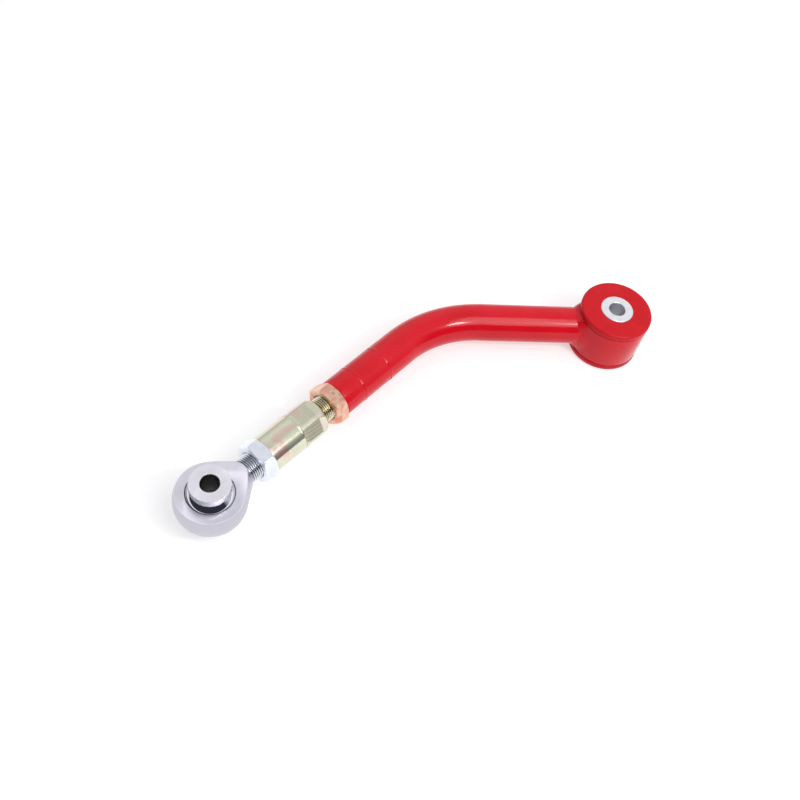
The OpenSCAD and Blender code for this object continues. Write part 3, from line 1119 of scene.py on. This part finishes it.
stations, wrench_face = sleeve_outline_and_flats()
seat_radius = stud_core + 0.05
sleeve_profile = [
    (stud_radius + 0.9, adjuster_low),
    (BODY_RADIUS - 0.5, adjuster_low),
    (BODY_RADIUS, adjuster_low + 0.5),
]
sleeve_profile += [(wrench_face(s, outer), s) for s, outer in stations]
sleeve_profile += [
    (seat_radius + 0.4, adjuster_high),
    (seat_radius, adjuster_high - 0.4),
    (seat_radius, stud_low - 0.3),
    (0.0, stud_low - 0.3),
    (0.0, adjuster_low + SHANK_HOLE_DEPTH),
    (hole_radius, adjuster_low + SHANK_HOLE_DEPTH),
    (hole_radius, adjuster_low + 0.9),
]
adjuster_spun = adjuster_place @ Matrix.Rotation(math.radians(WRENCH_CORNER_AT), 4, "Z")
adjuster = turn(
    "adjuster_sleeve", sleeve_profile, adjuster_spun, steps=HEX_SIDES * 32, sharp_angle=13
)
unspun = adjuster_spun.inverted()
milled = adjuster.data.attributes.new("milled", "FLOAT", "POINT")
for v, mark in zip(adjuster.data.vertices, milled.data):
    local = v.co - rod_centre
    s = local.dot(adjuster_axis) / MM
    radius = (local - adjuster_axis * s * MM).length / MM
    turned = unspun @ v.co
    side_number = math.floor(math.atan2(turned.y, turned.x) / (2 * math.pi / HEX_SIDES))
    # two opposite flats take the full painted shade of the feed marks, the other four a quarter
    shade_weight = 1.0 if side_number % 3 == 0 else 0.25
    on_flat = flats_start < s < flats_end and radius < adjuster_radius - 0.03
    mark.value = shade_weight if on_flat else 0.0
adjuster_gold = milled_sleeve()
hand_over(
    adjuster, "adjuster", "yellow_zinc_adjuster", adjuster_gold, "adjuster_sleeve", bevel=0.15
)


# --------------------------------------------------------- rod-end jam nut
# A right-hand jam nut locks the rod end against the sleeve. It is the same
# nut in clear zinc, which is bluish white.

nut_silver = zinc_plate("clear_zinc_nut", "#EAEEF6", ("#E4E8F2", "#EEF2FA", "#F0F3F6"), 0.28, 9)
rod_nut = hex_nut("rod_end_jam_nut", "rod_end_jam_nut", corner_at=36.5)
hand_over(rod_nut, "rod_end_nut", "clear_zinc_nut", nut_silver, "rod_end_jam_nut", bevel=0.25)


# ---------------------------------------------------------- rod-end housing
# The rod-end body is forged alloy steel, its round head milled flat on both
# sides and its neck tapering into a rolled thread; it is satin plated.

HEAD_RADIUS = 24.78
HEAD_EDGE = 0.45
NECK_RADIUS = 9.625
NECK_END = 29.3
POCKET_RADIUS = 19.04
head_low, head_high = (corner.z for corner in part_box("race_liner"))


def satin_plate():
    """Alloy steel under satin zinc: a soft lavender grey with a fine machined grain."""
    material, tree, shader, place = finish(
        "plated_alloy_steel", "#E2E1EC", 1.0, 0.36, Anisotropic=0.75
    )
    tone, _ = film(tree, place, 10, "#DFDDE8", "#E8E7F0")
    # only the two faces are milled; the round side is painted darker than them, as painted shade
    height = put(tree, "ShaderNodeSeparateXYZ", {0: place}).outputs["Z"]
    level = put(tree, "ShaderNodeMath", {0: height}, operation="ABSOLUTE")
    faced = put(
        tree,
        "ShaderNodeMapRange",
        {"Value": level, "From Min": head_high - 0.6 * MM, "From Max": head_high - 0.1 * MM},
    )
    shaded_side = put(
        tree, "ShaderNodeMix", {"Factor": faced, 6: linear("#C4C2CC"), 7: tone}, data_type="RGBA"
    )
    grain = put(
        tree, "ShaderNodeTexNoise", {"Vector": place, "Scale": 1 / (0.5 * MM), "Detail": 3.0}
    )
    spoke = put(tree, "ShaderNodeVectorMath", {0: place, 1: rod_centre}, operation="SUBTRACT")
    way = put(tree, "ShaderNodeVectorMath", {0: Z_AXIS, 1: spoke}, operation="CROSS_PRODUCT")
    lay(tree, shader, shaded_side.outputs[2], grain, (0.3, 0.46), grain, 0.008, Tangent=way)
    return material


def head_blank():
    """Sphere and neck cone turned about the shank axis, then milled flat on both sides."""
    reach_to_neck = math.hypot(NECK_END, NECK_RADIUS)
    tangent = math.atan2(NECK_RADIUS, NECK_END) + math.acos(HEAD_RADIUS / reach_to_neck)
    steps = 72
    outline = [(0.0, -HEAD_RADIUS)]
    for k in range(1, steps):
        turned = math.pi - (math.pi - tangent) * k / steps
        outline.append((HEAD_RADIUS * math.sin(turned), HEAD_RADIUS * math.cos(turned)))
    outline.append((HEAD_RADIUS * math.sin(tangent), HEAD_RADIUS * math.cos(tangent)))
    outline.append((NECK_RADIUS, NECK_END - 0.3))
    outline.append((NECK_RADIUS - 0.3, NECK_END))
    outline.append((0.0, NECK_END))
    blank = turn("head_blank", outline, adjuster_place, steps=192, closed=False)
    shape = bmesh.new()
    shape.from_mesh(blank.data)
    for height, facing in ((head_low, -1), (head_high, 1)):
        plane_point = (rod_centre.x, rod_centre.y, height)
        cut = bmesh.ops.bisect_plane(
            shape,
            geom=shape.verts[:] + shape.edges[:] + shape.faces[:],
            plane_co=plane_point,
            plane_no=(0, 0, facing),
            clear_outer=True,
        )
        rim = [e for e in cut["geom_cut"] if isinstance(e, bmesh.types.BMEdge)]
        bmesh.ops.contextual_create(shape, geom=rim)
    bmesh.ops.recalc_face_normals(shape, faces=shape.faces)
    shape.to_mesh(blank.data)
    shape.free()
    return blank


def ball_cutter(name, radius, centre, rows=64, sides=160):
    """Sphere with its poles on +Z, used to cut a pocket."""
    outline = []
    for k in range(rows + 1):
        turned = math.pi * k / rows
        outline.append((radius * math.sin(turned), -radius * math.cos(turned)))
    outline[0], outline[-1] = (0.0, -radius), (0.0, radius)
    return turn(name, outline, turned_to(centre, Z_AXIS), steps=sides, closed=False)


satin = satin_plate()
head = head_blank()
head.name = "rod_end_housing"
pocket = ball_cutter("pocket", POCKET_RADIUS, rod_centre)
bore = head.modifiers.new("pocket", "BOOLEAN")
bore.object = pocket
bore.operation = "DIFFERENCE"
bore.solver = "EXACT"
apply_modifiers(head)
bpy.data.objects.remove(pocket)
edges = head.modifiers.new("milled_edge", "BEVEL")
edges.width = HEAD_EDGE * MM
edges.segments = 3
edges.limit_method = "ANGLE"
edges.angle_limit = math.radians(30)
apply_modifiers(head)
shank_high = reach("rod_end_housing", rod_centre, adjuster_axis)[1]
hand_over(head, "rod_end", "plated_alloy_steel", satin, "rod_end_housing")

# the last colour is the painted shade in the thread roots
thread_silver = plated_thread(
    "bright_zinc_thread", "#E0E2EA", ("#F0F2F8", "#FCFDFF"), "#7E8292", 0.22
)
shank = thread(
    "rod_end_shank",
    thread_silver,
    NECK_END - 0.6,
    shank_high,
    stud_radius,
    thread_depth,
    RIGHT_HAND,
    start_fade=1.6,
    end_fade=1.5,
)
hand_over(shank, "rod_end", "plated_alloy_steel", thread_silver, "rod_end_housing")


# ------------------------------------------------------------- race liner
# A thin woven liner lines the race. Only its dark edge shows, between the
# ball and the head.


def woven_liner():
    """PTFE liner: matt and nearly black, with a fine weave at its edge."""
    material, tree, shader, place = finish("bearing_liner", "#3A3A40", 0.0, 0.6)
    # the weave is about 0.4 mm between threads
    weave = put(tree, "ShaderNodeTexVoronoi", {"Vector": place, "Scale": 1 / (0.4 * MM)})
    tone = put(
        tree, "ShaderNodeValToRGB", {"Fac": weave}, stops=[(0.0, "#44444A"), (0.8, "#26262A")]
    )
    skin = put(tree, "ShaderNodeBump", {"Height": weave, "Distance": 0.02 * MM})
    plug(shader, {"Base Color": tone, "Normal": skin})
    return material


LINER_OUTER = 19.02
LINER_INNER = 18.67
liner_low, liner_high = reach("race_liner", rod_centre, Z_AXIS)[:2]
BAND_ROWS = 24


def ball_band(outer, inner, low, high):
    """Outline of a ring between two spheres."""
    outline = []
    for k in range(BAND_ROWS + 1):
        z = low + (high - low) * k / BAND_ROWS
        outline.append((math.sqrt(outer**2 - z**2), z))
    for k in range(BAND_ROWS + 1):
        z = high + (low - high) * k / BAND_ROWS
        outline.append((math.sqrt(inner**2 - z**2), z))
    return outline


liner = turn(
    "race_liner",
    ball_band(LINER_OUTER, LINER_INNER, liner_low, liner_high),
    turned_to(rod_centre, Z_AXIS),
)
hand_over(liner, "rod_end", "bearing_liner", woven_liner(), "race_liner")


# -------------------------------------------------------------------- ball
# The ball is hardened bearing steel, ground, polished and hard chromed, with
# a flat on each side and a plain bore.


def hard_chrome():
    """Hard chrome on a polished ball: a dark mirror with the faintest of scuffs."""
    material, tree, shader, place = finish("polished_chrome", "#DADBE2", 1.0, 0.05)
    haze = put(tree, "ShaderNodeTexNoise", {"Vector": place, "Scale": 1 / (7 * MM), "Detail": 4.0})
    gloss = put(tree, "ShaderNodeMapRange", {"Value": haze, "To Min": 0.02, "To Max": 0.09})
    scuff = put(tree, "ShaderNodeTexNoise", {"Vector": place, "Scale": 1 / (1.2 * MM)})
    skin = put(tree, "ShaderNodeBump", {"Height": scuff, "Distance": 0.001 * MM})
    plug(shader, {"Roughness": gloss, "Normal": skin})
    return material


BALL_RADIUS = 18.6
ball_low, ball_high, ball_bore = reach("ball", rod_centre, Z_AXIS)[:3]
ball_outline = [(ball_bore, ball_low + 0.3), (ball_bore + 0.3, ball_low)]
for k in range(65):
    z = ball_low + (ball_high - ball_low) * (1 - math.cos(math.pi * k / 64)) / 2
    ball_outline.append((math.sqrt(BALL_RADIUS**2 - z**2), z))
ball_outline += [(ball_bore + 0.3, ball_high), (ball_bore, ball_high - 0.3)]
ball = turn("ball", ball_outline, turned_to(rod_centre, Z_AXIS), steps=192)
hand_over(ball, "rod_end_ball", "polished_chrome", hard_chrome(), "ball", bevel=0.2)


# ------------------------------------------------------------------ spacers
# Two stepped spacers drop into the ball's bore and let it swivel. They are
# turned from steel bar, so their sides carry fine grooves.


def turned_spacer_steel():
    """Nickel-bright turned steel, with fine tool marks round its axis."""
    material, tree, shader, place = finish("turned_steel", "#F2F0F6", 1.0, 0.26, Anisotropic=0.7)
    centred = put(
        tree, "ShaderNodeMapping", {"Vector": place, "Location": rod_centre}, vector_type="TEXTURE"
    )
    # tool marks are 0.1 mm apart on the real face, and drawn at 0.8 mm
    marks = put(
        tree,
        "ShaderNodeTexWave",
        {"Vector": centred, "Scale": math.pi / (10 * 0.8 * MM)},
        wave_type="RINGS",
        rings_direction="Z",
    )
    tone, haze = film(tree, place, 5, "#EEEBF3", "#F7F5FA")
    # the drilled bore is painted dark, as painted shade
    flat_place = put(
        tree, "ShaderNodeVectorMath", {0: centred, 1: (1, 1, 0)}, operation="MULTIPLY"
    )
    outwards = put(tree, "ShaderNodeVectorMath", {0: flat_place}, operation="LENGTH")
    bored = put(
        tree,
        "ShaderNodeMath",
        {0: outwards.outputs["Value"], 1: (bolt_radius + 0.1) * MM},
        operation="LESS_THAN",
    )
    # the side is painted with dark lines 0.5 mm apart, as painted shade in its grooves; the end
    # face has none
    grooves = put(
        tree,
        "ShaderNodeTexWave",
        {"Vector": centred, "Scale": math.pi / (10 * 0.5 * MM)},
        bands_direction="Z",
    )
    rise = put(tree, "ShaderNodeSeparateXYZ", {0: place}).outputs["Z"]
    level = put(tree, "ShaderNodeMath", {0: rise}, operation="ABSOLUTE")
    on_side = put(
        tree, "ShaderNodeMath", {0: level, 1: (spacer_top - 0.3) * MM}, operation="LESS_THAN"
    )
    groove_shade_mask = put(
        tree, "ShaderNodeMath", {0: grooves.outputs["Fac"], 1: on_side}, operation="MULTIPLY"
    )
    groove_shaded = put(
        tree, "ShaderNodeMix", {"Factor": groove_shade_mask, 6: tone, 7: linear("#7C7A86")}, data_type="RGBA"
    )
    bore_shaded = put(
        tree,
        "ShaderNodeMix",
        {"Factor": bored, 6: groove_shaded.outputs[2], 7: linear("#6A6867")},
        data_type="RGBA",
    )
    way = put(tree, "ShaderNodeVectorMath", {0: Z_AXIS, 1: centred}, operation="CROSS_PRODUCT")
    relief = marks.outputs["Fac"]
    lay(tree, shader, bore_shaded.outputs[2], haze, (0.22, 0.34), relief, 0.003, Tangent=way)
    return material


SPACER_FOOT = 12.9
SPACER_SHANK = 9.525
FOOT_HEIGHT = 2.2
FOOT_GROOVES = 4
GROOVE_DEPTH = 0.12
SPACER_EDGE = 0.15
spacer_top, bolt_radius = reach("spacer_upper", rod_centre, Z_AXIS)[1:3]
spacer_steel = turned_spacer_steel()
for node, turned_over in (("spacer_upper", 1), ("spacer_lower", -1)):
    axis = Z_AXIS * turned_over
    tip, top, bolt_bore, flange = reach(node, rod_centre, axis)
    foot = ball_high + 0.02
    profile = [
        (bolt_bore, tip + 0.3),
        (bolt_bore + 0.3, tip),
        (SPACER_SHANK - 0.3, tip),
        (SPACER_SHANK, tip + 0.3),
        (SPACER_SHANK, foot),
        (SPACER_FOOT, foot),
    ]
    for k in range(FOOT_GROOVES * 4 + 1):
        share = k / (FOOT_GROOVES * 4)
        groove = GROOVE_DEPTH / 2 * (1 - math.cos(2 * math.pi * FOOT_GROOVES * share))
        taper = SPACER_FOOT + (flange - SPACER_FOOT) * share
        profile.append((taper - groove, foot + FOOT_HEIGHT * share))
    profile += [
        (flange, top - SPACER_EDGE),
        (flange - SPACER_EDGE, top - INSET),
        (bolt_bore + EDGE_BREAK, top - INSET),
        (bolt_bore, top - EDGE_BREAK),
    ]
    spacer = turn(node, profile, turned_to(rod_centre, axis), steps=160)
    hand_over(spacer, "spacers", "turned_steel", spacer_steel, node, bevel=0.05)


# -------------------------------------------------------------------- floor
# The arm lies on a plain white studio sweep. The sheet is lit a little from
# within, so that it stays pale up to its far edge.


def paper_sweep():
    """Matt white paper, with a trace of tooth."""
    material, tree, shader, place = finish(
        "studio_paper",
        "#C8C8C8",
        0.0,
        0.9,
        Specular_IOR_Level=0.0,
        Emission_Color=linear("#FFFFFF"),
        Emission_Strength=0.5,
    )
    tooth = put(tree, "ShaderNodeTexNoise", {"Vector": place, "Scale": 1 / (3 * MM)})
    skin = put(tree, "ShaderNodeBump", {"Height": tooth, "Distance": 0.01 * MM})
    plug(shader, {"Normal": skin})
    return material


FLOOR_REACH = 6.0
floor_height = cad_box[0][2]
floor_mesh = bpy.data.meshes.new("floor")
floor_corners = [
    (x * FLOOR_REACH, y * FLOOR_REACH, floor_height)
    for x, y in ((-1, -1), (1, -1), (1, 1), (-1, 1))
]
floor_mesh.from_pydata(floor_corners, [], [(0, 1, 2, 3)])
floor = in_scene("floor", floor_mesh)
floor_mesh.materials.append(paper_sweep())


# ------------------------------------------------------------------- lights
# A white room whose near wall is unlit, a broad soft box over the near side,
# and a small lamp that puts the glint on the bend.

world = bpy.data.worlds.new("studio")
bpy.context.scene.world = world
world.use_nodes = True
room = world.node_tree
direction = put(room, "ShaderNodeTexCoord").outputs["Generated"]
height = put(room, "ShaderNodeSeparateXYZ", {0: direction}).outputs["Z"]
walls = put(
    room,
    "ShaderNodeValToRGB",
    {"Fac": height},
    stops=[(0.0, "#C9C9CE"), (0.25, "#DADADD"), (0.6, "#F4F4F6"), (1.0, "#D8D8DC")],
)
towards_door = put(
    room, "ShaderNodeVectorMath", {0: direction, 1: (-0.672, -0.740, 0.0)}, operation="DOT_PRODUCT"
)
door_side = put(
    room,
    "ShaderNodeMapRange",
    {"Value": towards_door.outputs["Value"], "From Min": -0.1, "From Max": 0.25},
)
below_lamps = put(room, "ShaderNodeMapRange", {"Value": height, "From Min": 0.6, "From Max": 0.57})
unlit = put(room, "ShaderNodeMath", {0: door_side, 1: below_lamps}, operation="MULTIPLY")
shaded_walls = put(
    room, "ShaderNodeMix", {"Factor": unlit, 6: walls, 7: linear("#34353F")}, data_type="RGBA"
)
plug(room.nodes["Background"], {"Color": shaded_walls.outputs[2], "Strength": 1.03})


def soft_box(name, place, aim, width, height, power):
    """Rectangular area light aimed at a point."""
    lamp = bpy.data.lights.new(name, "AREA")
    lamp.shape = "RECTANGLE"
    lamp.size = width
    lamp.size_y = height
    lamp.energy = power
    box = in_scene(name, lamp)
    box.location = place
    box.rotation_euler = (Vector(aim) - Vector(place)).to_track_quat("-Z", "Y").to_euler()


soft_box("overhead", (-0.02, -0.65, 1.05), (-0.02, -0.1, 0.0), 0.56, 0.95, 5.4)
soft_box("bulb", (0.095, -0.562, 0.749), (-0.12, 0.05, 0.0), 0.15, 0.05, 2.4)


# ------------------------------------------------------------------- camera
# The camera looks down at about 55 degrees from the rod-end side, from about
# 0.8 m away, with a lens a little longer than normal.

CAMERA_PLACE = Vector((-0.4590, -0.2870, 0.5765))
CAMERA_AIM = Vector((0.3861, 0.4252, -0.8186))
CAMERA_SIDE = Vector((0.8485, -0.5118, 0.1344))
camera_data = bpy.data.cameras.new("camera")
camera_data.lens = 43.9
camera_data.sensor_width = 36.0
camera = in_scene("camera", camera_data)
look = CAMERA_AIM.normalized()
side = (CAMERA_SIDE - look * CAMERA_SIDE.dot(look)).normalized()
turned = Matrix((side, side.cross(look), -look)).transposed().to_4x4()
camera.matrix_world = Matrix.Translation(CAMERA_PLACE) @ turned
bpy.context.scene.camera = camera
bpy.context.scene.view_settings.view_transform = "Standard"
